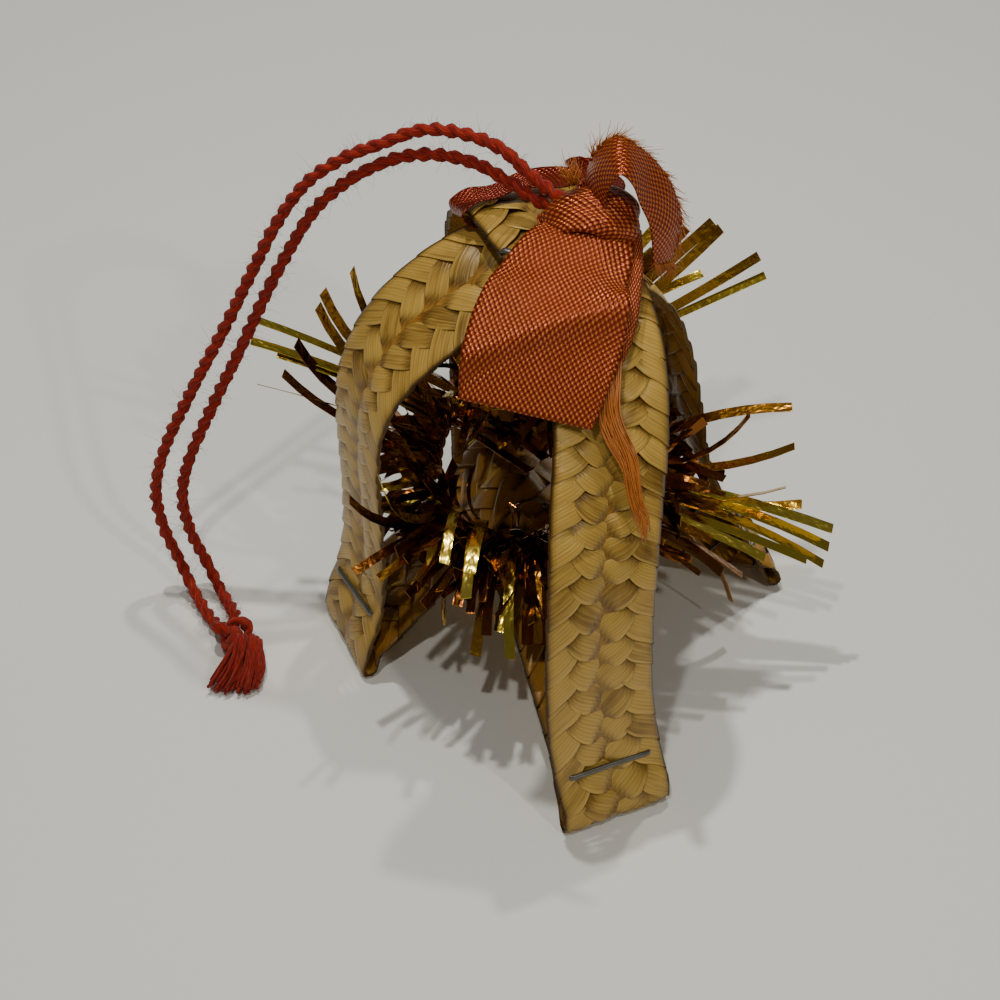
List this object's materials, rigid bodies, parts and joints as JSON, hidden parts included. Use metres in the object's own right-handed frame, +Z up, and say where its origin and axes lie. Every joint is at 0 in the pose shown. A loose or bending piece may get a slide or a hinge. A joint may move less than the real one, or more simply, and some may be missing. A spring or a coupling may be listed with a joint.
{
  "type": "straw ornament",
  "caption": "Small bell-shaped hanging ornament of two crossing plaited straw bands with a tinsel ring, a tied ribbon and a doubled yarn loop.",
  "frame": {"origin": "the table under the middle of the ornament's box, measured without the yarn", "axes": "+Z up as the ornament stands on its four feet, +X to the right as seen from the front leg, +Y from the front leg to the back leg"},
  "size_m": [0.1059, 0.079, 0.0889],
  "materials": {
    "straw": "natural straw plait with a satin sheen",
    "tinsel_film": "metallised gold film",
    "ribbon": "woven satin, burnt orange",
    "staple_steel": "plain staple wire",
    "yarn": "two-ply wool"
  },
  "bodies": {
    "root": {"front_back_band": "straw", "left_right_band": "straw", "tinsel": "tinsel_film", "ribbon_bow": "ribbon", "staple_back": "staple_steel", "staple_front": "staple_steel", "staple_left": "staple_steel", "staple_right": "staple_steel", "staple_top": "staple_steel", "yarn_upper_strand": "yarn", "yarn_lower_strand": "yarn", "yarn_knot": "yarn", "yarn_tassel": "yarn"}
  },
  "joints": []
}
